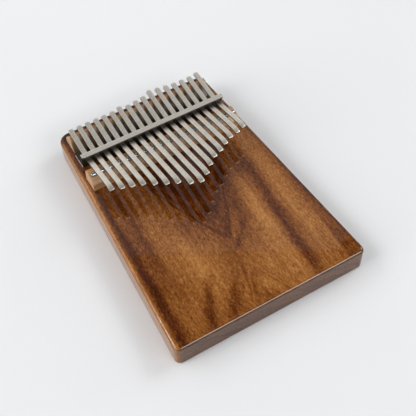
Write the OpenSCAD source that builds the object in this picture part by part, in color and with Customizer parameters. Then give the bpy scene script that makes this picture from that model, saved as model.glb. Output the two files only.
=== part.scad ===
// Seventeen-tine lamellophone (mbira) on a solid tapered board.
// Millimetres. Origin at the centre of the board's underside, +Z up, +Y towards the tails
// of the tines, -Y towards the player's end, +X to the right.

/* [Board] */
// Length of the board, player's end to tail end
board_length = 211; // [195:1:240]
// Width of the board at the player's end
board_front_width = 151; // [140:1:165]
// Width of the board at the tail end
board_back_width = 131; // [126:1:150]
// Thickness of the board
board_thickness = 20; // [16:1:26]
// Radius of the two corners at the player's end, seen from above
front_corner_radius = 4.5; // [4:0.5:12]
// Radius of the two corners at the tail end, seen from above
back_corner_radius = 9; // [5:0.5:14]
// Rounding of the board's top edges
top_edge_radius = 2.5; // [1:0.5:4]
// Rounding of the board's bottom edges
bottom_edge_radius = 1.5; // [0.5:0.5:3]

/* [Tines] */
// Spacing of neighbouring tines
tine_pitch = 7; // [6.5:0.1:7.2]
// Width of a tine
tine_width = 4.1; // [3.5:0.1:4.3]
// Thickness of a tine
tine_thickness = 1.2; // [0.8:0.1:1.4]
// Rise of the playing part per millimetre of its length
front_slope = 0.22; // [0.18:0.01:0.26]
// Rise of the tail part per millimetre of its length
tail_slope = 0.10; // [0.06:0.01:0.14]
// Angle through which the last few millimetres of a playing tip bend down
tip_bend = 30; // [15:1:40]
// Radius of that bend
tip_bend_radius = 12; // [8:1:16]

/* [Bridges] */
// Distance of the front bridge's rod from the middle of the board
rod_y = 46.8; // [44:0.1:50]
// Radius of the steel rod
rod_radius = 1.5; // [1.2:0.1:1.8]
// Length of the steel rod
rod_length = 123; // [118:1:125]
// Length of the front bridge
front_bridge_length = 127; // [124:1:128]
// Height of the front bridge at its crest
front_bridge_height = 9.8; // [9:0.1:11]
// Depth of the front bridge from front to back
front_bridge_depth = 14; // [13:0.5:14.5]
// Length of the rear bridge
rear_bridge_length = 121; // [118:1:122]
// Depth of the rear bridge from its toe to its back
rear_bridge_depth = 15.4; // [14.5:0.1:15.6]
// Distance of the rear bridge's ridge from the middle of the board
ridge_y = 90.4; // [90.2:0.1:91]

/* [Bracket] */
// Length of the steel bracket across the board
bracket_length = 122; // [119:1:125]
// Height of the bracket above the board
bracket_height = 14; // [13.5:0.1:16]
// Thickness of the bracket's steel
bracket_thickness = 1.5; // [1.2:0.1:2]
// Depth of the bracket's top flange
top_flange_depth = 5.2; // [4.5:0.1:6]
// Depth of the bracket's foot on the board
foot_depth = 15.2; // [14:0.1:16]
// Distance of the middle of the bracket's upright from the middle of the board
bracket_y = 66.1; // [65:0.1:67]

/* [Screws] */
// Radius of the screws' heads
screw_head_radius = 3.5; // [3:0.1:4]
// Radius of the screws' shanks
screw_shank_radius = 1.5; // [1.2:0.1:1.8]
// Length of a screw under its head
screw_length = 14; // [10:1:16]
// Distance of the row of screws from the middle of the board
screw_y = 75.9; // [75:0.1:77]

/* [Hidden] */
// Free length of each tine in front of the rod, left to right
free_lengths = [26, 29, 32, 35, 40, 45, 49, 55, 58, 53, 46, 40, 37, 32, 28, 26, 23];
// Length of each tine behind the bracket's upright, left to right
tail_lengths = [
    29.5, 29.5, 29.5, 29.5, 29.5, 29.5, 31.5, 29.5, 30.5,
    31.5, 34.5, 33.5, 32.5, 31.5, 31.5, 31.5, 32.5
];
// Places of the five screws across the board
screw_places = [-50, -27, 0, 27, 50];

tine_count = len(free_lengths);
top = board_thickness;
half_length = board_length / 2;
half_tine = tine_thickness / 2;

// Gap between a tine and each thing that it bears on, so that it can slide when tuned
bearing_gap = 0.3;
// Gap between the two parts of a tine, over the rod
split_gap = 0.1;
// Gap round a shank, and between the rod and its groove
fixing_gap = 0.05;

// Heights above the board: the rod's axis, and a tine's middle plane along its length
rod_height = front_bridge_height + 0.8;
tine_rod_height = rod_height + (rod_radius + bearing_gap + half_tine) * sqrt(1 + pow(front_slope, 2));
kink_height = tine_rod_height - front_slope * (bracket_y - rod_y);
ridge_height = kink_height + tail_slope * (ridge_y - bracket_y) - half_tine - bearing_gap;

// Slots in the bracket's upright, one for each tine
slot_width = tine_width + 0.6;
slot_bottom = kink_height - half_tine - 2.4;
slot_top = kink_height + half_tine + 0.65;

function node_name(number, part) = str("tine_", number < 10 ? "0" : "", number, "_", part);
function tine_x(number) = (number - (tine_count + 1) / 2) * tine_pitch;

// Points of an arc about c, from angle a0 to angle a1
function arc(c, radius, a0, a1, steps = 8) =
    [for (k = [0 : steps]) c + radius * [cos(a0 + (a1 - a0) * k / steps), sin(a0 + (a1 - a0) * k / steps)]];

// An outline in Y and Z, drawn out along X about the middle of the board
module along_x(length) {
    rotate([90, 0, 90])
        translate([0, 0, -length / 2])
            linear_extrude(length)
                children();
}

// ---- Board ----

// One corner of the board: a puck with rounded top and bottom edges
module corner_puck(radius) {
    low = bottom_edge_radius;
    high = top_edge_radius;
    rotate_extrude($fn = 48)
        polygon(concat(
            [[0, 0]],
            arc([radius - low, low], low, -90, 0, 4),
            arc([radius - high, top - high], high, 0, 90, 8),
            [[0, top]]
        ));
}

module board() {
    front_x = board_front_width / 2 - front_corner_radius;
    back_x = board_back_width / 2 - back_corner_radius;
    color("saddlebrown")
        difference() {
            hull()
                for (side = [-1, 1]) {
                    translate([side * front_x, front_corner_radius - half_length, 0])
                        corner_puck(front_corner_radius);
                    translate([side * back_x, half_length - back_corner_radius, 0])
                        corner_puck(back_corner_radius);
                }
            // Pilot holes of the bracket's screws
            for (x = screw_places)
                translate([x, screw_y, top + bracket_thickness - screw_length - 1])
                    cylinder(r = screw_shank_radius + fixing_gap, h = screw_length + 1, $fn = 32);
        }
}

// ---- Bridges ----

// Outline in X and Z that rounds the upper corners of a bridge's ends
module bridge_ends(length, height) {
    corner = 0.8;
    lean = 0.5;
    half = length / 2;
    polygon(concat(
        [[-half, -1], [half, -1]],
        arc([half - lean - corner, height - corner], corner, 0, 90),
        arc([corner + lean - half, height - corner], corner, 90, 180)
    ));
}

module bridge_body(length, height) {
    translate([0, 0, top])
        intersection() {
            along_x(length)
                children();
            rotate([90, 0, 0])
                translate([0, 0, -board_length])
                    linear_extrude(2 * board_length)
                        bridge_ends(length, height);
        }
}

// A steep front wall, a slope up to the crest that carries the rod, and a nearly level back
module front_bridge() {
    front_y = rod_y - front_bridge_depth / 2 + 0.6;
    back_y = front_y + front_bridge_depth;
    crest = front_bridge_height;
    wall = 0.66 * crest;
    back_wall = 0.94 * crest;
    half_crest = 1.9;
    color("burlywood")
        difference() {
            bridge_body(front_bridge_length, crest)
                polygon([
                    [front_y, 0],
                    [front_y + 0.9, wall - 0.7],
                    [front_y + 1.5, wall],
                    [rod_y - half_crest, crest],
                    [rod_y + half_crest, crest],
                    [back_y - 0.3, back_wall],
                    [back_y, back_wall - 0.5],
                    [back_y, 0]
                ]);
            translate([-rod_length / 2 - 4, rod_y, top + rod_height])
                rotate([0, 90, 0])
                    cylinder(r = rod_radius + fixing_gap, h = rod_length + 8, $fn = 48);
        }
}

// A wedge: the tails bear on its ridge, and it falls away to a thin toe in front
module rear_bridge() {
    back_y = ridge_y + 6.2;
    toe_y = back_y - rear_bridge_depth;
    crown = 2.4;
    color("burlywood")
        bridge_body(rear_bridge_length, ridge_height)
            polygon(concat(
                [[toe_y, 0], [toe_y, 0.8]],
                arc([ridge_y, ridge_height - crown], crown, 143, 60, 8),
                [[back_y - 0.6, 5.4], [back_y, 4.6], [back_y, 0]]
            ));
}

module bridge_rod() {
    chamfer = 0.3;
    color("silver")
        translate([-rod_length / 2, rod_y, top + rod_height])
            rotate([0, 90, 0]) {
                cylinder(r1 = rod_radius - chamfer, r2 = rod_radius, h = chamfer, $fn = 48);
                translate([0, 0, chamfer])
                    cylinder(r = rod_radius, h = rod_length - 2 * chamfer, $fn = 48);
                translate([0, 0, rod_length - chamfer])
                    cylinder(r1 = rod_radius, r2 = rod_radius - chamfer, h = chamfer, $fn = 48);
            }
}

// ---- Bracket ----

// Z-shaped section: a foot on the board, an upright, and a flange that reaches forward
module bracket_sheet(flange_front, foot_back) {
    t = bracket_thickness;
    upright_front = bracket_y - t / 2;
    upright_back = bracket_y + t / 2;
    h = bracket_height;
    along_x(bracket_length)
        polygon(concat(
            arc([upright_front + t, t], t, 180, 270),
            [[foot_back, 0], [foot_back, t], [upright_back, t]],
            arc([upright_back - t, h - t], t, 0, 90),
            [[flange_front, h], [flange_front, h - t], [upright_front, h - t]]
        ));
}

// Outline of the bracket seen from above, with its four corners rounded
module bracket_plan(flange_front, foot_back) {
    r = 2;
    half = bracket_length / 2;
    translate([0, 0, -1])
        linear_extrude(bracket_height + 2)
            polygon(concat(
                arc([r - half, flange_front + r], r, 180, 270),
                arc([half - r, flange_front + r], r, 270, 360),
                arc([half - r, foot_back - r], r, 0, 90),
                arc([r - half, foot_back - r], r, 90, 180)
            ));
}

module z_bracket() {
    t = bracket_thickness;
    upright_front = bracket_y - t / 2;
    flange_front = bracket_y + t / 2 - top_flange_depth;
    foot_back = upright_front + foot_depth;
    color("lightgray")
        difference() {
            translate([0, 0, top])
                intersection() {
                    bracket_sheet(flange_front, foot_back);
                    bracket_plan(flange_front, foot_back);
                }
            for (i = [1 : tine_count])
                translate([tine_x(i) - slot_width / 2, upright_front - 0.5, top + slot_bottom])
                    cube([slot_width, t + 1, slot_top - slot_bottom]);
            for (x = screw_places)
                translate([x, screw_y, top - 1])
                    cylinder(r = screw_shank_radius + fixing_gap, h = t + 2, $fn = 32);
        }
}

// Domed head with a slot for a flat driver
module screw() {
    head_height = 2.2;
    slot_depth = 1.1;
    dome = (pow(screw_head_radius, 2) + pow(head_height, 2)) / (2 * head_height);
    edge_angle = asin((dome - head_height) / dome);
    difference() {
        rotate_extrude($fn = 48)
            polygon(concat(
                [[0, 0]],
                arc([0, head_height - dome], dome, edge_angle, 90, 10)
            ));
        translate([-screw_head_radius - 1, -0.45, head_height - slot_depth])
            cube([2 * screw_head_radius + 2, 0.9, slot_depth + 1]);
    }
    translate([0, 0, 3 - screw_length])
        cylinder(r = screw_shank_radius, h = screw_length - 3, $fn = 32);
    translate([0, 0, -screw_length])
        cylinder(r1 = 0.3, r2 = screw_shank_radius, h = 3, $fn = 32);
}

module bracket_screws() {
    color("dimgray")
        for (k = [0 : len(screw_places) - 1])
            translate([screw_places[k], screw_y, top + bracket_thickness])
                rotate([0, 0, 35 + 50 * k])
                    screw();
}

// ---- Tines ----

// A strip of even thickness along a path of [y, z, slope angle] steps
module strip(path) {
    normals = [for (p = path) half_tine * [-sin(p[2]), cos(p[2])]];
    upper = [for (k = [0 : len(path) - 1]) [path[k][0], path[k][1]] + normals[k]];
    lower = [for (k = [len(path) - 1 : -1 : 0]) [path[k][0], path[k][1]] - normals[k]];
    along_x(tine_width)
        polygon(concat(upper, lower));
}

// Outline of a strip seen from above, from y0 to y1, with corners rounded by r0 and r1
module strip_plan(y0, y1, r0, r1) {
    half = tine_width / 2;
    translate([0, 0, -1])
        linear_extrude(2 * bracket_height + top)
            polygon(concat(
                arc([r0 - half, y0 + r0], r0, 180, 270, 6),
                arc([half - r0, y0 + r0], r0, 270, 360, 6),
                arc([half - r1, y1 - r1], r1, 0, 90, 6),
                arc([r1 - half, y1 - r1], r1, 90, 180, 6)
            ));
}

// The part held by the bracket: from its tail, over the rear bridge, to the rod
module tine_tail(number) {
    rear_angle = atan(tail_slope);
    front_angle = -atan(front_slope);
    tail_y = bracket_y + tail_lengths[number - 1];
    split_y = rod_y + split_gap / 2;
    path = [
        [tail_y, kink_height + tail_slope * (tail_y - bracket_y), rear_angle],
        [bracket_y + 1.5, kink_height + 1.5 * tail_slope + 0.03, rear_angle],
        [bracket_y, kink_height + 0.12, (rear_angle + front_angle) / 2],
        [bracket_y - 1.5, kink_height + 1.5 * front_slope + 0.03, front_angle],
        [split_y, tine_rod_height - front_slope * (split_y - rod_y), front_angle]
    ];
    color("gainsboro")
        translate([tine_x(number), 0, top])
            intersection() {
                strip(path);
                strip_plan(split_y - 1, tail_y, 0.1, 1.6);
            }
}

// The playing part: straight in front of the rod, then bent down at its tip
module tine_reed(number) {
    slope_angle = atan(front_slope);
    root_y = rod_y - split_gap / 2;
    tip_y = rod_y - free_lengths[number - 1];
    // The bend's end lies a little behind the tip, by the tilt of the end face
    bend_run = tip_bend_radius * (sin(slope_angle) + sin(tip_bend - slope_angle));
    bend_y = tip_y + bend_run + half_tine * sin(tip_bend - slope_angle);
    bend_z = tine_rod_height + front_slope * (rod_y - bend_y);
    centre = [bend_y - tip_bend_radius * sin(slope_angle), bend_z - tip_bend_radius * cos(slope_angle)];
    bend = [for (k = [0 : 8])
        let (a = slope_angle - tip_bend * k / 8)
            [centre[0] + tip_bend_radius * sin(a), centre[1] + tip_bend_radius * cos(a), -a]];
    path = concat(
        [[root_y, tine_rod_height + front_slope * (rod_y - root_y), -slope_angle]],
        bend
    );
    color("gainsboro")
        translate([tine_x(number), 0, top])
            intersection() {
                strip(path);
                strip_plan(tip_y, root_y + 1, 0.7, 0.1);
            }
}

board();
rear_bridge();
front_bridge();
bridge_rod();
z_bracket();
bracket_screws();
for (i = [1 : tine_count]) {
    tine_tail(i);
    tine_reed(i);
}
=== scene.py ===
"""A seventeen-tine mbira on a lacquered hardwood board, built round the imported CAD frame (metres)."""
import math

import bmesh
import bpy
from mathutils import Matrix, Vector


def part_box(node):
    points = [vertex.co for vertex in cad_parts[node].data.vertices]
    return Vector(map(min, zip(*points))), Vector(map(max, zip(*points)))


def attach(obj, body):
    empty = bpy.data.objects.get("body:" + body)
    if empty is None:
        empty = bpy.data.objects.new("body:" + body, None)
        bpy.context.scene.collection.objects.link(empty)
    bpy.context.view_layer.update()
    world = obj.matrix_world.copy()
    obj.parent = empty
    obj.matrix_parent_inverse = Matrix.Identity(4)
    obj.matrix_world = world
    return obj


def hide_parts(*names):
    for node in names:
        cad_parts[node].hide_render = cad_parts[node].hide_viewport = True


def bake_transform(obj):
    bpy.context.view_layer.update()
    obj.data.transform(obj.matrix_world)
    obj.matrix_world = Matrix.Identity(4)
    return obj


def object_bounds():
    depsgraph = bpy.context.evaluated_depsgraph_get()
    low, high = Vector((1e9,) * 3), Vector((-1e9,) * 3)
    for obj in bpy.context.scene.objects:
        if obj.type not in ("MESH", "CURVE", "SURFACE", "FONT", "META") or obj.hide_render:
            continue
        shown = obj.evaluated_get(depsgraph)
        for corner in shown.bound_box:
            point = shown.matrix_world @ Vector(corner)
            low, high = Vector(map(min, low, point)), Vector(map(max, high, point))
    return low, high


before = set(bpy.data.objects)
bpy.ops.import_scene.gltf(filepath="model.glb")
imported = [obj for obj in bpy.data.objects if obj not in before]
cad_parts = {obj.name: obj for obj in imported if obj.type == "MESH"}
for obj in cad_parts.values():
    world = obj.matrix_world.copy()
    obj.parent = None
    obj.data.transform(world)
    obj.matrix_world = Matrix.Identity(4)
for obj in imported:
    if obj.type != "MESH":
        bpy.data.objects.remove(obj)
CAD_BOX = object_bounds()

MM = 0.001
SCENE = bpy.context.scene

# Board: corner and edge radii
FRONT_CORNER, BACK_CORNER = 4.5 * MM, 9 * MM
TOP_FILLET, BOTTOM_FILLET = 2.5 * MM, 1.5 * MM
BACK_HALF_WIDTH = 65.5 * MM

# Tines: how steeply the strip rises from the bracket to each side, and the bend at its tip
TINE_COUNT = 17
FRONT_SLOPE, TAIL_SLOPE = 0.22, 0.10
TIP_BEND = math.radians(30)
TIP_BEND_RADIUS = 12 * MM
TINE_THICKNESS = 1.2 * MM

# Bracket, and its five screws from left to right
BRACKET_THICKNESS = 1.5 * MM
TOP_FLANGE = 5.2 * MM
BRACKET_CORNER = 2 * MM
SCREW_PLACES = [x * MM for x in (-50, -27, 0, 27, 50)]
SCREW_RADIUS, SCREW_HALF_SLOT = 3.5 * MM, 0.45 * MM

# Rear bridge: how far its ridge lies from its back
RIDGE_INSET = 6.2 * MM

# Gaps: a tine and the rod under it, a tine and each side of its slot, the rod and its groove
BEARING_GAP, SIDE_GAP, FIXING_GAP = 0.3 * MM, 0.3 * MM, 0.05 * MM

# Heights and places that several pieces share
BOARD_LOW, BOARD_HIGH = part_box("board")
BRACKET_LOW, BRACKET_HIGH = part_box("z_bracket")
ROD_LOW, ROD_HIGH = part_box("bridge_rod")
ROD_RADIUS = (ROD_HIGH.z - ROD_LOW.z) / 2
ROD_Y, ROD_Z = (ROD_LOW.y + ROD_HIGH.y) / 2, (ROD_LOW.z + ROD_HIGH.z) / 2
TINE_ROD_Z = ROD_Z + (ROD_RADIUS + BEARING_GAP + TINE_THICKNESS / 2) * math.sqrt(1 + FRONT_SLOPE ** 2)
KINK_Y = BRACKET_LOW.y + TOP_FLANGE - BRACKET_THICKNESS / 2
KINK_Z = TINE_ROD_Z - FRONT_SLOPE * (KINK_Y - ROD_Y)

# Camera, with its lens in millimetres, and how far it and the near cards are rolled, in degrees
CAMERA_PLACE = Vector((-0.1638, -0.3211, 0.4789))
CAMERA_AIM = Vector((0.00023, -0.01689, 0.020))
CAMERA_LENS = 68.7
CAMERA_ROLL = -2.6
CARD_ROLL = -36


# ---------------------------------------------------------------- node helpers

class Nodes:
    """A material's node tree in short calls; each argument is a value or another node's output."""

    def __init__(self, name):
        self.material = bpy.data.materials.new(name)
        self.material.use_nodes = True
        self.tree = self.material.node_tree
        self.shader = self.tree.nodes["Principled BSDF"]
        self.place = self.add("ShaderNodeTexCoord").outputs["Object"]

    def add(self, kind, **settings):
        node = self.tree.nodes.new(kind)
        for key, value in settings.items():
            setattr(node, key, value)
        return node

    def feed(self, value, socket):
        if isinstance(value, bpy.types.NodeSocket):
            self.tree.links.new(value, socket)
        elif isinstance(value, (tuple, list)) and len(socket.default_value) == 4 and len(value) == 3:
            socket.default_value = (*value, 1)
        else:
            socket.default_value = value

    def math(self, operation, a, b=0.0):
        node = self.add("ShaderNodeMath", operation=operation)
        self.feed(a, node.inputs[0])
        self.feed(b, node.inputs[1])
        return node.outputs[0]

    def total(self, first, *rest):
        for value in rest:
            first = self.math("ADD", first, value)
        return first

    def less(self, a, b):
        return self.math("SUBTRACT", a, b)

    def times(self, a, b):
        return self.math("MULTIPLY", a, b)

    def over(self, a, b):
        return self.math("DIVIDE", a, b)

    def absolute(self, a):
        return self.math("ABSOLUTE", a)

    def split(self, vector):
        node = self.add("ShaderNodeSeparateXYZ")
        self.feed(vector, node.inputs[0])
        return node.outputs[0], node.outputs[1], node.outputs[2]

    def normal(self):
        """The surface direction, as three values."""
        return self.split(self.add("ShaderNodeNewGeometry").outputs["Normal"])

    def join(self, x, y, z):
        node = self.add("ShaderNodeCombineXYZ")
        for value, socket in zip((x, y, z), node.inputs):
            self.feed(value, socket)
        return node.outputs[0]

    def scaled(self, factors, vector=None):
        node = self.add("ShaderNodeVectorMath", operation="MULTIPLY")
        self.feed(self.place if vector is None else vector, node.inputs[0])
        self.feed(factors, node.inputs[1])
        return node.outputs[0]

    def noise(self, vector, detail, roughness=0.55, distortion=0.0):
        """Noise with features about one unit of the vector apart."""
        node = self.add("ShaderNodeTexNoise")
        self.feed(vector, node.inputs["Vector"])
        settings = {"Scale": 1.0, "Detail": detail, "Roughness": roughness, "Distortion": distortion}
        for name, value in settings.items():
            node.inputs[name].default_value = value
        return node.outputs["Fac"]

    def smooth(self, value, low, high, to_low=0.0, to_high=1.0):
        """An eased step from to_low to to_high while the value goes from low to high."""
        node = self.add("ShaderNodeMapRange", interpolation_type="SMOOTHSTEP")
        for item, socket in zip((value, low, high, to_low, to_high), node.inputs):
            self.feed(item, socket)
        return node.outputs[0]

    def ramp(self, factor, stops):
        node = self.add("ShaderNodeValToRGB")
        self.feed(factor, node.inputs[0])
        elements = node.color_ramp.elements
        while len(elements) < len(stops):
            elements.new(0.5)
        for element, (position, colour) in zip(elements, stops):
            element.position = position
            element.color = (*colour, 1)
        return node.outputs[0]

    def mix(self, factor, a, b):
        node = self.add("ShaderNodeMix", data_type="RGBA")
        self.feed(factor, node.inputs[0])
        self.feed(a, node.inputs[6])
        self.feed(b, node.inputs[7])
        return node.outputs[2]

    def bump(self, height, distance, strength, target="Normal"):
        """Relief of this depth in metres, on the base or on the coat."""
        node = self.add("ShaderNodeBump")
        node.inputs["Strength"].default_value = strength
        node.inputs["Distance"].default_value = distance
        self.feed(height, node.inputs["Height"])
        self.feed(node.outputs[0], self.shader.inputs[target])

    def finish(self, **sockets):
        """Sets the shader's sockets, named with underscores for spaces, and hands back the material."""
        for name, value in sockets.items():
            self.feed(value, self.shader.inputs[name.replace("_", " ")])
        return self.material


# ---------------------------------------------------------------- materials

class BoardGrain:
    """Places in the board's wood, in millimetres: across follows the tilted, wavy layers of growth."""

    def __init__(self, n):
        self.n = n
        self.mm = n.scaled((1000, 1000, 1000))
        self.x, self.y, self.z = n.split(self.mm)
        self.drift = self.centred((0.022, 0.009, 0.022), 2.0)
        self.wobble = self.centred((0.09, 0.035, 0.09))
        # Layers of growth tilt through the board, so they show on the end grain as slanting stripes
        depth = n.less(self.z, BOARD_HIGH.z / MM)
        waves = n.total(n.times(self.drift, 12.0), n.times(self.wobble, 4.0))
        self.across = n.total(self.x, waves, n.times(depth, 2.5))
        self.warped = n.join(self.across, self.y, self.z)

    def centred(self, scales, detail=3.0, roughness=0.55, vector=None):
        """Noise about zero; the scales are cycles per millimetre along X, Y and Z."""
        place = self.n.scaled(scales, self.mm if vector is None else vector)
        return self.n.less(self.n.noise(place, detail, roughness), 0.5)

    def streak(self, centre, half_width, strength, y_centre=0.0, half_length=400.0, lean=0.0):
        """A soft band along the grain; lean moves its middle with y."""
        n = self.n
        run = n.less(self.y, y_centre)
        u = n.over(n.less(self.across, n.total(n.times(run, lean), centre)), half_width)
        v = n.over(run, half_length)
        fall = n.total(n.times(u, u), n.times(n.times(v, v), n.times(v, v)))
        return n.times(n.math("EXPONENT", n.times(fall, -1.0)), strength)


def hardwood_streaks(grain):
    """The broad dark and golden bands of the board's top, in millimetres; some dark ones round the tines'
    tips are painted shade.

    Each is the place of its middle across the board, its half width, its strength, the place of its middle
    along the board, its half length, and how far it leans.
    """
    streak = grain.streak
    left_side = [streak(-64.5, 4.0, -0.34, 0, 300, 0.0474), streak(-54, 4.5, -0.26, 0, 50, 0.05)]
    right_side = [
        streak(30, 6.5, 0.20, -50, 66, 0.02),
        streak(43, 4.0, -0.30, -50, 64, 0.08),
        streak(57, 6.0, 0.16, -30, 90),
        streak(70, 3.5, -0.16, -60, 60),
    ]
    tip_shade_and_figure = [
        # The first three, round and under the tines' tips, are painted shade of the tines; the other four,
        # nearer the player, are figure.
        streak(-42, 18, -0.12, 27, 18),
        streak(-3, 24, -0.26, 10, 34),
        streak(37, 15, -0.24, 18, 22),
        streak(22, 4.5, -0.22, -12, 26, 0.10),
        streak(-22, 9, -0.12, -30, 16),
        streak(4, 17, -0.09, -42, 22),
        streak(9, 5.0, -0.20, -48, 12, 0.8),
    ]
    players_end = [
        streak(-31, 13, 0.16, -56, 34),
        streak(-38, 4.5, -0.30, -85, 20, 0.48),
        streak(-23, 4.0, -0.24, -93, 14, 0.5),
        streak(14, 9.0, 0.16, -84, 22),
        streak(14, 4.0, -0.16, -100, 16),
    ]
    return left_side + right_side + tip_shade_and_figure + players_end


def hardwood_flame(grain):
    """A saddle of growth rings: they close downwards above its middle, and run straight beside it."""
    n = grain.n
    middle_y = -62.0
    side = n.over(grain.across, 9.0)
    beyond = n.less(grain.y, middle_y)
    along = n.over(beyond, 24.0)
    saddle = n.less(n.times(along, along), n.times(side, side))
    level = n.over(saddle, n.math("SQRT", n.total(n.absolute(saddle), 0.35)))
    phase = n.total(level, grain.wobble, n.times(grain.drift, 0.8))
    rings = n.math("SINE", n.times(phase, 7.0))
    lines = n.times(n.times(rings, n.smooth(saddle, -1.5, 0.4)), 0.07)
    heart = n.times(n.smooth(saddle, 0.0, 0.6), n.smooth(beyond, 0.0, 12.0))
    return [lines, n.times(heart, -0.14)]


def edge_light_and_shade(grain):
    """Painted light along the left edge, painted shade along the right edge, and painted shade of the tails
    on the board behind the rear bridge.
    """
    n = grain.n
    half_width = (BOARD_HIGH.x + BACK_HALF_WIDTH) / 2 / MM
    taper = (BOARD_HIGH.x - BACK_HALF_WIDTH) / (BOARD_HIGH.y - BOARD_LOW.y)
    reach = n.total(n.times(grain.y, -taper), half_width)
    from_left = n.total(reach, grain.x, n.times(grain.wobble, 2.0))
    from_right = n.total(n.less(reach, grain.x), grain.wobble)
    return [
        # Painted light along the left edge
        n.times(n.smooth(from_left, 5.5, 1.8), 0.25),
        # Painted shade along the right edge
        n.times(n.smooth(from_right, 4.5, 1.5), -0.26),
        # Painted shade of the tails behind the rear bridge
        n.times(n.smooth(grain.y, 92.0, 98.0), -0.22),
    ]


def figured_hardwood():
    """Lacquered, figured hardwood, with duller end grain and sides, and painted light and shade along its
    edges and round the tines.
    """
    n = Nodes("figured_hardwood")
    grain = BoardGrain(n)
    cloud = grain.centred((0.05, 0.026, 0.05), 3.0, 0.6)
    stripes = grain.centred((0.34, 0.018, 0.34), 4.0, 0.6, grain.warped)
    fibres = grain.centred((0.95, 0.24, 0.95), 4.0, 0.75, grain.warped)
    fine = grain.centred((2.4, 0.45, 2.4), 2.0, 0.6, grain.warped)
    figure_and_painted_light = hardwood_streaks(grain) + hardwood_flame(grain) + edge_light_and_shade(grain)
    texture = [n.times(cloud, 0.44), n.times(stripes, 0.48), n.times(fibres, 1.2), n.times(fine, 0.75)]
    colour = n.ramp(n.total(0.50, *figure_and_painted_light, *texture), [
        (0.00, (0.040, 0.0070, 0.0008)),
        (0.25, (0.105, 0.0250, 0.0032)),
        (0.50, (0.235, 0.0780, 0.0140)),
        (0.75, (0.400, 0.1620, 0.0400)),
        (1.00, (0.620, 0.3000, 0.0950)),
    ])
    pores = n.smooth(n.noise(n.scaled((2.0, 0.32, 2.0), grain.warped), 2.0, 0.5), 0.62, 0.70)
    colour = n.mix(n.times(pores, 0.60), colour, (0.045, 0.010, 0.001))
    facing = n.normal()
    end_grain = n.smooth(n.absolute(facing[1]), 0.45, 0.75)
    colour = n.mix(n.times(end_grain, 0.62), colour, (0.045, 0.020, 0.010))
    side_wall = n.smooth(n.absolute(facing[0]), 0.80, 0.98)
    colour = n.mix(n.times(side_wall, 0.40), colour, (0.120, 0.052, 0.020))
    n.bump(n.less(n.times(fibres, 0.6), pores), 0.00004, 0.35)
    waviness = n.noise(n.scaled((0.045, 0.028, 0.045), grain.mm), 2.0)
    n.bump(waviness, 0.0006, 0.10, "Coat Normal")
    return n.finish(Base_Color=colour, Roughness=0.42, Coat_Weight=1.0, Coat_Roughness=0.035, Coat_IOR=1.5,
                    IOR=1.5, Specular_IOR_Level=0.0)


def bridge_wood(name, tones, lit_span=None):
    """Satin wood with grain along X in three tones; outside the two levels of Y given last it is darkened,
    as painted shade.
    """
    n = Nodes(name)
    mm = n.scaled((1000, 1000, 1000))
    long_grain = n.noise(n.scaled((0.05, 0.9, 0.9), mm), 5.0, 0.62, 0.4)
    fine = n.noise(n.scaled((0.25, 5.0, 5.0), mm), 3.0, 0.6)
    flecks = n.smooth(n.noise(n.scaled((0.35, 3.2, 3.2), mm), 1.0, 0.5), 0.64, 0.72)
    tone = n.total(n.times(long_grain, 0.75), n.times(fine, 0.25))
    colour = n.ramp(tone, list(zip((0.25, 0.50, 0.75), tones)))
    colour = n.mix(n.times(flecks, 0.5), colour, (0.22, 0.10, 0.04))
    if lit_span:
        # Painted shade: darker in front of the ridge, where the bracket's shadow falls, and behind the
        # crown.
        level = n.total(n.split(mm)[1], n.times(long_grain, 3.0), -1.5)
        low, high = lit_span
        painted_slope_shade = n.total(n.smooth(level, low + 1.5, low - 1.5), n.smooth(level, high - 0.5, high + 0.5))
        colour = n.mix(n.times(painted_slope_shade, 0.86), colour, (0.062, 0.026, 0.007))
    # The sawn ends are lighter cream: partly the end grain's own tone, partly painted light on these end
    # faces.
    end_grain_and_light = n.smooth(n.absolute(n.normal()[0]), 0.6, 0.9)
    colour = n.mix(n.times(end_grain_and_light, 0.8), colour, n.mix(fine, (0.80, 0.52, 0.29), (0.40, 0.24, 0.12)))
    n.bump(tone, 0.00006, 0.5)
    return n.finish(Base_Color=colour, Roughness=n.smooth(fine, 0.3, 0.7, 0.42, 0.58), Coat_Weight=0.25,
                    Coat_Roughness=0.25)


def front_bridge_maple():
    tones = ((0.30, 0.135, 0.044), (0.48, 0.25, 0.096), (0.64, 0.38, 0.17))
    return bridge_wood("front_bridge_maple", tones)


def rear_bridge_maple():
    """Maple left plain on its lit slope up to the ridge, and darkened in front of that and behind it:
    painted shade.
    """
    ridge = (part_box("rear_bridge")[1].y - RIDGE_INSET) / MM
    tones = ((0.24, 0.095, 0.018), (0.44, 0.195, 0.045), (0.62, 0.32, 0.09))
    return bridge_wood("rear_bridge_maple", tones, (ridge - 3.6, ridge + 0.6))


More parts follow.
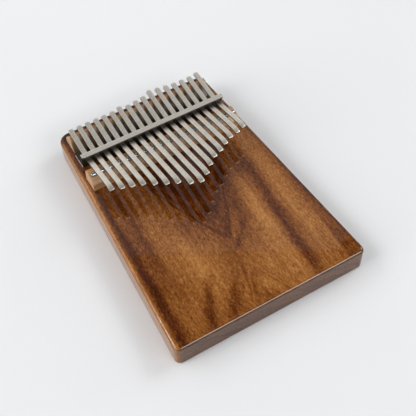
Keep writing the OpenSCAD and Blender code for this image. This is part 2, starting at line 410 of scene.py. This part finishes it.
def brushed_steel(name, tones, rough, hairline_scales, mottle_scale, painted_side_shade=0.0, dark_below=None):
    """Satin metal between two tones: fine mottling, hairline marks, duller patches, and painted shade on the
    sides.

    The scales are cycles per millimetre. Below the level dark_below, in millimetres, and on the faces
    towards the player it is darker and rougher: painted shade under the flange.
    """
    dark, light = tones
    rough_low, rough_high = rough
    n = Nodes(name)
    mm = n.scaled((1000, 1000, 1000))
    mottle = n.noise(n.scaled((mottle_scale,) * 3, mm), 4.0, 0.65)
    hairlines = n.noise(n.scaled(hairline_scales, mm), 3.0, 0.6)
    patches = n.noise(n.scaled((0.12, 0.12, 0.12), mm), 2.0)
    tone = n.total(n.times(mottle, 0.5), n.times(hairlines, 0.3), n.times(patches, 0.2))
    colour = n.ramp(tone, [(0.40, dark), (0.60, light)])
    roughness = n.smooth(tone, 0.30, 0.70, rough_high, rough_low)
    facing = n.normal()
    across = n.absolute(facing[0])
    if painted_side_shade:
        # Painted shade: faces turned towards the sides are darkened.
        colour = n.mix(n.times(n.smooth(across, 0.25, 0.65), painted_side_shade), colour, (0.030, 0.026, 0.020))
    if dark_below:
        z = n.split(mm)[2]
        # Painted shade under the flange and on the faces towards the player, with more roughness there too.
        under_flange_shade = n.smooth(n.total(z, n.times(patches, 0.4)), dark_below + 0.4, dark_below)
        under_flange_shade = n.math("MAXIMUM", under_flange_shade, n.smooth(facing[1], -0.3, -0.7))
        colour = n.mix(n.times(under_flange_shade, 0.92), colour, (0.022, 0.015, 0.009))
        roughness = n.total(roughness, n.times(under_flange_shade, 0.35))
        # Painted highlight: the foot's end faces are mixed back to the light tone.
        foot_top = (BOARD_HIGH.z + BRACKET_THICKNESS) / MM
        painted_end_highlight = n.times(n.smooth(across, 0.6, 0.9), n.smooth(z, foot_top + 0.5, foot_top + 0.1))
        colour = n.mix(painted_end_highlight, colour, light)
    n.bump(n.total(n.times(mottle, 0.6), n.times(hairlines, 0.4)), 0.00005, 0.35)
    return n.finish(Base_Color=colour, Metallic=1.0, Roughness=roughness)


def rod_chrome():
    tones = ((0.26, 0.29, 0.29), (0.42, 0.45, 0.44))
    return brushed_steel("rod_chrome", tones, (0.08, 0.16), (0.6, 3.0, 3.0), 1.6)


def bracket_nickel():
    tones = ((0.74, 0.68, 0.59), (0.94, 0.89, 0.81))
    # Painted shade starts just below the flange's underside.
    shade_top = (BRACKET_HIGH.z - BRACKET_THICKNESS) / MM + 0.4
    return brushed_steel("bracket_nickel", tones, (0.20, 0.30), (0.3, 4.0, 4.0), 1.4,
                         painted_side_shade=0.7, dark_below=shade_top)


def screw_dark():
    # The heads' near-black tone is partly their own dark steel and partly painted shade from the flange
    # above.
    tones = ((0.014, 0.020, 0.021), (0.040, 0.052, 0.052))
    return brushed_steel("screw_dark", tones, (0.28, 0.42), (2.0, 2.0, 2.0), 2.0)


def tine_satin_steel():
    tones = ((0.68, 0.62, 0.535), (0.96, 0.91, 0.82))
    # The tines' sides carry painted shade.
    return brushed_steel("tine_satin_steel", tones, (0.30, 0.38), (4.0, 0.3, 4.0), 1.3, painted_side_shade=0.9)


def floor_material():
    """Pale matt paper with the faintest mottling."""
    n = Nodes("pale_floor")
    cloud = n.noise(n.scaled((3.0, 3.0, 3.0)), 2.0)
    colour = n.ramp(cloud, [(0.3, (0.83, 0.838, 0.85)), (0.7, (0.85, 0.858, 0.87))])
    fibre = n.noise(n.scaled((900.0, 900.0, 900.0)), 2.0)
    n.bump(fibre, 0.0001, 0.05)
    return n.finish(Base_Color=colour, Roughness=0.85, Specular_IOR_Level=0.2)


# ---------------------------------------------------------------- mesh helpers

def make_piece(name, verts, faces, material, nodes=(), body="board"):
    """A new mesh object; it stands for the CAD nodes and rides on the body, if one is given."""
    mesh = bpy.data.meshes.new(name)
    mesh.from_pydata([tuple(v) for v in verts], [], faces)
    mesh.materials.append(material)
    mesh.shade_smooth()
    obj = bpy.data.objects.new(name, mesh)
    SCENE.collection.objects.link(obj)
    if nodes:
        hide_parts(*nodes)
    if body:
        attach(obj, body)
    return obj


def loft(rings):
    """Points and faces of a solid that joins closed rings of equal length, one after another."""
    count = len(rings[0])
    faces = []
    for k in range(len(rings) - 1):
        low, high = k * count, (k + 1) * count
        faces += [(low + i, low + (i + 1) % count, high + (i + 1) % count, high + i) for i in range(count)]
    last = (len(rings) - 1) * count
    faces.append(tuple(reversed(range(count))))
    faces.append(tuple(last + i for i in range(count)))
    return [point for ring in rings for point in ring], faces


def arc(cy, cz, radius, start, end, steps):
    """Points of an arc in the Y-Z plane, angles in degrees."""
    angles = [math.radians(start + (end - start) * k / steps) for k in range(steps + 1)]
    return [(cy + radius * math.cos(a), cz + radius * math.sin(a)) for a in angles]


def outward(obj):
    """Turns every face outwards."""
    bm = bmesh.new()
    bm.from_mesh(obj.data)
    bmesh.ops.recalc_face_normals(bm, faces=bm.faces)
    bm.to_mesh(obj.data)
    bm.free()


def soften(obj, width):
    """Rounds the sharp edges and keeps the flat faces flat to the eye."""
    outward(obj)
    bevel = obj.modifiers.new("bevel", "BEVEL")
    bevel.width = width
    bevel.segments = 3
    bevel.limit_method = "ANGLE"
    bevel.angle_limit = math.radians(28)
    obj.modifiers.new("weighted", "WEIGHTED_NORMAL").weight = 80


# ---------------------------------------------------------------- board

def board_outline(front_y, back_y, front_half, back_half):
    """(centre, radius, outward direction) of each point round the board, seen from above."""
    fx, fy, fr = front_half - FRONT_CORNER, front_y + FRONT_CORNER, FRONT_CORNER
    bx, by, br = back_half - BACK_CORNER, back_y - BACK_CORNER, BACK_CORNER
    run = math.hypot(fx - bx, fy - by)
    tangent = math.atan2(fx - bx, by - fy) + math.asin((fr - br) / run)
    steps = 14
    outline = []
    for cx, cy, radius, start, end in (
        (fx, fy, fr, -math.pi / 2, tangent),
        (bx, by, br, tangent, math.pi / 2),
        (-bx, by, br, math.pi / 2, math.pi - tangent),
        (-fx, fy, fr, math.pi - tangent, 3 * math.pi / 2),
    ):
        for k in range(steps + 1):
            a = start + (end - start) * k / steps
            outline.append((cx, cy, radius, math.cos(a), math.sin(a)))
    return outline


def build_board(material):
    """A solid board whose wall is drawn inwards round both fillets."""
    outline = board_outline(BOARD_LOW.y, BOARD_HIGH.y, BOARD_HIGH.x, BACK_HALF_WIDTH)
    # (inset from the wall, height, slant) up the board's side
    profile = []
    for k in range(7):
        a = math.radians(-90 + 15 * k)
        z = BOARD_LOW.z + BOTTOM_FILLET * (1 + math.sin(a))
        profile.append((BOTTOM_FILLET * (1 - math.cos(a)), z, a))
    for k in range(11):
        a = math.radians(9 * k)
        z = BOARD_HIGH.z - TOP_FILLET * (1 - math.sin(a))
        profile.append((TOP_FILLET * (1 - math.cos(a)), z, a))
    rings, normals = [], []
    for inset, z, a in profile:
        rings.append([(cx + (r - inset) * nx, cy + (r - inset) * ny, z) for cx, cy, r, nx, ny in outline])
        normals += [(math.cos(a) * nx, math.cos(a) * ny, math.sin(a)) for _, _, _, nx, ny in outline]
    verts, faces = loft(rings)
    obj = make_piece("board_shell", verts, faces, material, ["board"])
    obj.data.normals_split_custom_set_from_vertices(normals)


# ---------------------------------------------------------------- bridges

def bridge_rings(outline, half, height):
    """An outline in Y and Z drawn along X; its ends lean in a little and their upper corners are rounded."""
    corner, lean = 0.8 * MM, 0.5 * MM
    top = height - corner
    # (x, how far the outline is cut down there), from the right end inwards
    stations = []
    for k in range(6):
        a = math.radians(18 * k)
        stations.append((half - lean - corner * (1 - math.cos(a)), corner * (1 - math.sin(a))))
    stations += [(half - lean - corner - step * MM, 0.0) for step in (6, 18, 36, 56)]

    def end_ring(side):
        levels = [min(z, top) for _, z in outline]
        return [(side * (half - lean * (level + MM) / (top + MM)), y, BOARD_HIGH.z + level)
                for (y, _), level in zip(outline, levels)]

    def ring(side, station):
        x, cut = station
        return [(side * x, y, BOARD_HIGH.z + min(z, height - cut)) for y, z in outline]

    left = [end_ring(-1)] + [ring(-1, station) for station in stations]
    right = [ring(1, station) for station in reversed(stations)] + [end_ring(1)]
    return left + right


def build_front_bridge(material):
    """A steep front wall, a slope up to the crest with the rod's groove, and a nearly level back."""
    low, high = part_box("front_bridge")
    crest = high.z - low.z
    wall, back_wall, half_crest = 0.66 * crest, 0.94 * crest, 1.9 * MM
    rod_height = ROD_Z - low.z
    groove = ROD_RADIUS + FIXING_GAP
    lip = math.degrees(math.asin((crest - rod_height) / groove))
    outline = [(low.y, 0), (low.y + 0.9 * MM, wall - 0.7 * MM), (low.y + 1.5 * MM, wall)]
    outline += [(ROD_Y - half_crest, crest)]
    outline += arc(ROD_Y, rod_height, groove, 180 - lip, 360 + lip, 12)
    outline += [(ROD_Y + half_crest, crest)]
    outline += [(high.y - 0.3 * MM, back_wall), (high.y, back_wall - 0.5 * MM), (high.y, 0)]
    verts, faces = loft(bridge_rings(outline, high.x, crest))
    piece = make_piece("front_bridge_wood", verts, faces, material, ["front_bridge"])
    soften(piece, 0.35 * MM)


def build_rear_bridge(material):
    """A wedge with a rounded ridge that falls away to a thin toe in front."""
    low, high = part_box("rear_bridge")
    height = high.z - low.z
    crown = 2.4 * MM
    outline = [(low.y, 0), (low.y, 0.8 * MM)]
    outline += arc(high.y - RIDGE_INSET, height - crown, crown, 143, 60, 10)
    outline += [(high.y - 0.6 * MM, 5.4 * MM), (high.y, 4.6 * MM), (high.y, 0)]
    verts, faces = loft(bridge_rings(outline, high.x, height))
    piece = make_piece("rear_bridge_wood", verts, faces, material, ["rear_bridge"])
    soften(piece, 0.3 * MM)


def build_rod(material):
    """A turned rod with rounded ends."""
    length = ROD_HIGH.x - ROD_LOW.x
    # (millimetres from the end, share of the radius)
    ends = [(0.0, 0.62), (0.05, 0.80), (0.16, 0.91), (0.32, 0.97), (0.55, 1.0)]
    stations = [(ROD_LOW.x + d * MM, share) for d, share in ends]
    stations += [(ROD_LOW.x + length * k / 12, 1.0) for k in range(1, 12)]
    stations += [(ROD_HIGH.x - d * MM, share) for d, share in reversed(ends)]
    angles = [2 * math.pi * k / 40 for k in range(40)]
    rings = []
    for x, share in stations:
        r = ROD_RADIUS * share
        rings.append([(x, ROD_Y + r * math.cos(a), ROD_Z + r * math.sin(a)) for a in angles])
    verts, faces = loft(rings)
    make_piece("bridge_rod_chrome", verts, faces, material, ["bridge_rod"])


# ---------------------------------------------------------------- bracket and screws

def bracket_section():
    """The bracket's Z in Y and Z, and where in it each slot's back and front wall begins."""
    low, high, t = BRACKET_LOW, BRACKET_HIGH, BRACKET_THICKNESS
    upright_back = low.y + TOP_FLANGE
    upright_front = upright_back - t
    slot_low = KINK_Z - TINE_THICKNESS / 2 - 2.4 * MM
    slot_high = KINK_Z + TINE_THICKNESS / 2 + 0.65 * MM
    section = arc(upright_back, low.z + t, t, 180, 270, 6)
    section += [(high.y, low.z), (high.y, low.z + t), (upright_back, low.z + t)]
    section += [(upright_back, slot_low), (upright_back, slot_high)]
    section += arc(upright_front, high.z - t, t, 0, 90, 6)
    section += [(low.y, high.z), (low.y, high.z - t), (upright_front, high.z - t)]
    section += [(upright_front, slot_high), (upright_front, slot_low)]
    return section, section.index((upright_back, slot_low)), section.index((upright_front, slot_high))


def build_bracket(material):
    """The Z-shaped section drawn along X, with a slot for each tine in its upright."""
    low, high = BRACKET_LOW, BRACKET_HIGH
    section, back_wall, front_wall = bracket_section()
    # Stations across the bracket: the rounded corners at each end, and both sides of every slot
    rounding = [BRACKET_CORNER * (1 - math.cos(math.radians(15 * k))) for k in range(7)]
    slots = []
    for number in range(1, TINE_COUNT + 1):
        reed_low, reed_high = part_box("tine_%02d_reed" % number)
        slots += [reed_low.x - SIDE_GAP, reed_high.x + SIDE_GAP]
    stations = [low.x + d for d in rounding] + slots + [high.x - d for d in reversed(rounding)]
    rings = []
    for x in stations:
        into_corner = max(BRACKET_CORNER - min(x - low.x, high.x - x), 0)
        inset = BRACKET_CORNER - math.sqrt(max(BRACKET_CORNER ** 2 - into_corner ** 2, 0))
        rings.append([(x, min(max(y, low.y + inset), high.y - inset), z) for y, z in section])
    verts, faces = loft(rings)
    # Each slot takes away two faces, and four new ones line it
    count = len(section)
    starts = range(len(rounding), len(rounding) + len(slots), 2)
    holes = {k * count + wall for k in starts for wall in (back_wall, front_wall)}
    faces = [face for index, face in enumerate(faces) if index not in holes]
    loop = [back_wall, back_wall + 1, front_wall, front_wall + 1]
    for k in starts:
        a, b = k * count, (k + 1) * count
        faces.append((a + loop[0], b + loop[0], b + loop[3], a + loop[3]))
        faces.append((a + loop[1], a + loop[2], b + loop[2], b + loop[1]))
        faces.append(tuple(a + i for i in loop))
        faces.append(tuple(b + i for i in reversed(loop)))
    piece = make_piece("z_bracket_plate", verts, faces, material, ["z_bracket"])
    soften(piece, 0.35 * MM)


def screw_head_height(along, across):
    """Height of a slotted, domed head above its seat."""
    height, lip_width, lip_drop = 2.2 * MM, 0.24 * MM, 0.14 * MM
    dome = (SCREW_RADIUS ** 2 + height ** 2) / (2 * height)
    top = height - dome + math.sqrt(max(dome ** 2 - along ** 2 - across ** 2, 0))
    beside_slot = abs(across) - SCREW_HALF_SLOT
    if beside_slot < 0:
        return max(min(top, height / 2), 0)
    lip = max(0.0, lip_width - beside_slot) / lip_width
    return max(top - lip_drop * lip ** 2, 0)


def screw_mesh(x, y, z, turn):
    """A slotted head, drawn in chords that run along its slot, and a threaded shank below."""
    chords = 22
    # Distances from the slot's middle: its wall, the lip beside it, then out to the rim
    across = [SCREW_HALF_SLOT + d * MM for d in (-0.02, 0.0, 0.04, 0.12, 0.24)]
    for degrees in (14, 26, 38, 50, 61, 71, 80, 86, 90):
        across.append(SCREW_HALF_SLOT + (SCREW_RADIUS - SCREW_HALF_SLOT) * math.sin(math.radians(degrees)))
    stations = [-v for v in reversed(across)] + across
    verts = []
    for v in stations:
        span = math.sqrt(max(SCREW_RADIUS ** 2 - v * v, 0))
        for k in range(chords + 1):
            u = span * math.sin(math.pi * (k / chords - 0.5))
            verts.append((u, v, screw_head_height(u, v)))
    row = chords + 1
    faces = []
    for i in range(len(stations) - 1):
        for k in range(chords):
            a, b = i * row + k, (i + 1) * row + k
            faces.append((a, a + 1, b + 1, b))
    # The underside and the threads are rings of the head's own outline
    rim = [i * row for i in range(len(stations))]
    rim += [i * row + chords for i in reversed(range(len(stations)))]
    outline = [verts[i][:2] for i in rim]
    # (share of the head's radius, millimetres above the seat)
    shank = [(1.0, -0.02), (0.44, -0.02)]
    for k in range(9):
        shank += [(0.36, -1.0 - k), (0.44, -1.5 - k)]
    shank += [(0.10, -11.6)]
    previous = rim
    for share, level in shank:
        ring = list(range(len(verts), len(verts) + len(rim)))
        verts += [(u * share, v * share, level * MM) for u, v in outline]
        for i in range(len(rim)):
            j = (i + 1) % len(rim)
            faces.append((previous[j], previous[i], ring[i], ring[j]))
        previous = ring
    faces.append(tuple(previous))
    c, s = math.cos(turn), math.sin(turn)
    return [(x + c * u - s * v, y + s * u + c * v, z + w) for u, v, w in verts], faces


def build_screws(material):
    """Five screws in a row through the bracket's foot, each left at its own angle."""
    low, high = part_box("bracket_screws")
    y = (low.y + high.y) / 2
    seat = BOARD_HIGH.z + BRACKET_THICKNESS
    verts, faces = [], []
    for k, x in enumerate(SCREW_PLACES):
        points, polygons = screw_mesh(x, y, seat, math.radians(35 + 50 * k))
        faces += [tuple(i + len(verts) for i in polygon) for polygon in polygons]
        verts += points
    piece = make_piece("bracket_screw_set", verts, faces, material, ["bracket_screws"])
    bm = bmesh.new()
    bm.from_mesh(piece.data)
    bmesh.ops.remove_doubles(bm, verts=bm.verts, dist=0.004 * MM)
    bmesh.ops.dissolve_degenerate(bm, edges=bm.edges, dist=0.002 * MM)
    bmesh.ops.recalc_face_normals(bm, faces=bm.faces)
    bm.to_mesh(piece.data)
    bm.free()
    piece.data.shade_smooth()
    piece.data.set_sharp_from_angle(angle=math.radians(48))


# ---------------------------------------------------------------- tines

def strip_height(y):
    """Height and slope of a strip's middle line; the kink in the bracket is eased over a few millimetres."""
    ease = 3.0 * MM
    d = y - KINK_Y
    if d >= ease:
        return KINK_Z + TAIL_SLOPE * d, TAIL_SLOPE
    if d <= -ease:
        return KINK_Z - FRONT_SLOPE * d, -FRONT_SLOPE
    change = (TAIL_SLOPE + FRONT_SLOPE) * (d + ease) / (2 * ease)
    return KINK_Z + FRONT_SLOPE * ease + (d + ease) * (change / 2 - FRONT_SLOPE), change - FRONT_SLOPE


def tine_path(tip_y, tail_y):
    """(y, z, slope angle) down the middle of a strip, from its tail, over both bridges, to its bent tip."""
    rise = math.atan(FRONT_SLOPE)
    bend_run = TIP_BEND_RADIUS * (math.sin(rise) + math.sin(TIP_BEND - rise))
    bend_y = tip_y + bend_run + TINE_THICKNESS / 2 * math.sin(TIP_BEND - rise)
    # Close steps where the tail's end is rounded, then even ones of about 1.5 mm
    ys = [tail_y - d * MM for d in (0, 0.08, 0.22, 0.42, 0.7, 1.05, 1.5, 2.0)]
    last = ys[-1]
    straight = int((last - bend_y) / (1.5 * MM)) + 1
    ys += [last + (bend_y - last) * k / straight for k in range(1, straight + 1)]
    path = []
    for y in ys:
        z, slope = strip_height(y)
        path.append((y, z, math.atan(slope)))
    # Round the bend, again with close steps at the end
    centre_y = bend_y - TIP_BEND_RADIUS * math.sin(rise)
    centre_z = strip_height(bend_y)[0] - TIP_BEND_RADIUS * math.cos(rise)
    length = TIP_BEND_RADIUS * TIP_BEND
    marks = [length * k / 8 for k in range(1, 7)]
    marks += [length - d * MM for d in (1.4, 1.0, 0.68, 0.42, 0.2, 0.07, 0)]
    for mark in sorted(marks):
        a = rise - mark / TIP_BEND_RADIUS
        path.append((centre_y + TIP_BEND_RADIUS * math.sin(a), centre_z + TIP_BEND_RADIUS * math.cos(a), -a))
    return path


def strip_ring(x, point, half_width, half_thick, corner):
    """One cross-section of a strip: a rectangle with rounded long edges, square to the path."""
    y, z, slope = point
    corner = min(corner, half_thick * 0.98, half_width * 0.98)
    ring = []
    for qx, qz, start in ((1, 1, 0), (-1, 1, 90), (-1, -1, 180), (1, -1, 270)):
        for k in range(5):
            a = math.radians(start + 22.5 * k)
            u = qx * (half_width - corner) + corner * math.cos(a)
            v = qz * (half_thick - corner) + corner * math.sin(a)
            ring.append((x + u, y - v * math.sin(slope), z + v * math.cos(slope)))
    return ring


def build_tine(number, material):
    """One continuous strip, standing for its tail and its reed, with a rounded tail and tip; it kinks where
    it passes through the bracket.
    """
    tail, reed = "tine_%02d_tail" % number, "tine_%02d_reed" % number
    reed_low, reed_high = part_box(reed)
    x = (reed_low.x + reed_high.x) / 2
    half_width, half_thick = (reed_high.x - reed_low.x) / 2, TINE_THICKNESS / 2
    path = tine_path(reed_low.y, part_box(tail)[1].y)
    # How far each section lies from the tail, measured along the path
    runs = [0.0]
    for a, b in zip(path, path[1:]):
        runs.append(runs[-1] + math.hypot(a[0] - b[0], a[1] - b[1]))
    tail_round, tip_round, edge = 1.6 * MM, 0.7 * MM, 0.26 * MM
    rings = []
    for point, run in zip(path, runs):
        width, thick = half_width, half_thick
        for distance, radius in ((run, tail_round), (runs[-1] - run, tip_round)):
            if distance < radius:
                width = min(width, half_width - radius + math.sqrt(radius ** 2 - (radius - distance) ** 2))
            if distance < edge:
                thick = min(thick, half_thick - edge + math.sqrt(edge ** 2 - (edge - distance) ** 2))
        rings.append(strip_ring(x, point, width, thick, edge))
    verts, faces = loft(rings)
    piece = make_piece("tine_%02d" % number, verts, faces, material, [tail, reed], None)
    outward(piece)
    piece.data.set_sharp_from_angle(angle=math.radians(50))
    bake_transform(piece)


# ---------------------------------------------------------------- stage, light, camera

def build_floor():
    """A square of pale paper that the board lies on."""
    half_side, count = 3.0, 24
    z = CAD_BOX[0][2]
    marks = [(2 * k / count - 1) * half_side for k in range(count + 1)]
    verts = [(x, y, z) for y in marks for x in marks]
    row = count + 1
    corners = [j * row + i for j in range(count) for i in range(count)]
    faces = [(a, a + 1, a + 1 + row, a + row) for a in corners]
    mesh = bpy.data.meshes.new("floor")
    mesh.from_pydata(verts, [], faces)
    mesh.materials.append(floor_material())
    floor = bpy.data.objects.new("floor", mesh)
    SCENE.collection.objects.link(floor)


def far_place(azimuth, elevation, distance=2.0):
    """A point round the board; azimuth in degrees from +Y towards +X."""
    a, e = math.radians(azimuth), math.radians(elevation)
    return Vector((math.sin(a) * math.cos(e), math.cos(a) * math.cos(e), math.sin(e))) * distance


def aimed(place, direction, roll):
    """A matrix that puts a lamp or a camera at a place and turns it; roll is in degrees."""
    turn = direction.to_track_quat("-Z", "Y").to_matrix() @ Matrix.Rotation(math.radians(roll), 3, "Z")
    return Matrix.Translation(place) @ turn.to_4x4()


def add_panel(name, place, radiance, width=1.1, height=0.75, facing=None, roll=0.0, glint=False):
    """A soft panel of even radiance, facing the board unless told otherwise; a glint shows only in gloss."""
    light = bpy.data.lights.new(name, "AREA")
    light.shape = "RECTANGLE"
    light.size, light.size_y = width, height
    light.energy = radiance * width * height * math.pi
    obj = bpy.data.objects.new(name, light)
    SCENE.collection.objects.link(obj)
    obj.matrix_world = aimed(Vector(place), Vector(facing or -Vector(place)), roll)
    obj.visible_diffuse = not glint


def build_light():
    """Large soft boxes at the sides, low strips behind, near cards for the lacquer, and a dark room."""
    world = bpy.data.worlds.new("studio")
    SCENE.world = world
    world.use_nodes = True
    background = world.node_tree.nodes["Background"]
    background.inputs["Color"].default_value = (0.96, 0.98, 1.0, 1)
    background.inputs["Strength"].default_value = 0.10
    add_panel("box_left", far_place(270, 42), 5.4)
    add_panel("box_left_low", far_place(270, 18), 3.4)
    add_panel("box_left_back", far_place(315, 42), 3.0)
    add_panel("box_right", far_place(90, 42), 4.6)
    add_panel("box_right_low", far_place(90, 18), 2.4)
    add_panel("strip_right_back", far_place(45, 18), 0.5)
    add_panel("strip_back", far_place(0, 18), 0.5)
    add_panel("strip_front", far_place(157, 37), 6.0, 1.4, 0.42)
    add_panel("card_left_front", far_place(225, 24), 0.8, 1.1, 1.1)
    add_panel("glint_front", far_place(160, 27), 11.0, 1.5, 0.40, glint=True)
    add_panel("glint_corner", far_place(297, 38), 11.0, 0.5, 0.5, glint=True)
    # The card's upper edge rises to the right, and its reflection fades across the lower left of the board
    add_panel("card_near", (0.30, 0.45, 0.50), 0.30, 1.2, 0.66, (0, -1, 0), CARD_ROLL)
    add_panel("card_near_soft", (0.31, 0.46, 0.52), 0.10, 1.2, 0.84, (0, -1, 0), CARD_ROLL)


def build_camera():
    """A view from the player's left, over the near end of the board."""
    data = bpy.data.cameras.new("camera")
    data.sensor_width = 36
    data.lens = CAMERA_LENS
    data.clip_start = 0.01
    camera = bpy.data.objects.new("camera", data)
    SCENE.collection.objects.link(camera)
    camera.matrix_world = aimed(CAMERA_PLACE, CAMERA_AIM - CAMERA_PLACE, CAMERA_ROLL)
    SCENE.camera = camera


# ---------------------------------------------------------------- the scene

SCENE.view_settings.view_transform = "Standard"
build_camera()
build_light()
build_floor()

build_board(figured_hardwood())
build_front_bridge(front_bridge_maple())
build_rear_bridge(rear_bridge_maple())
build_rod(rod_chrome())
build_bracket(bracket_nickel())
build_screws(screw_dark())
tine_material = tine_satin_steel()
for number in range(1, TINE_COUNT + 1):
    build_tine(number, tine_material)
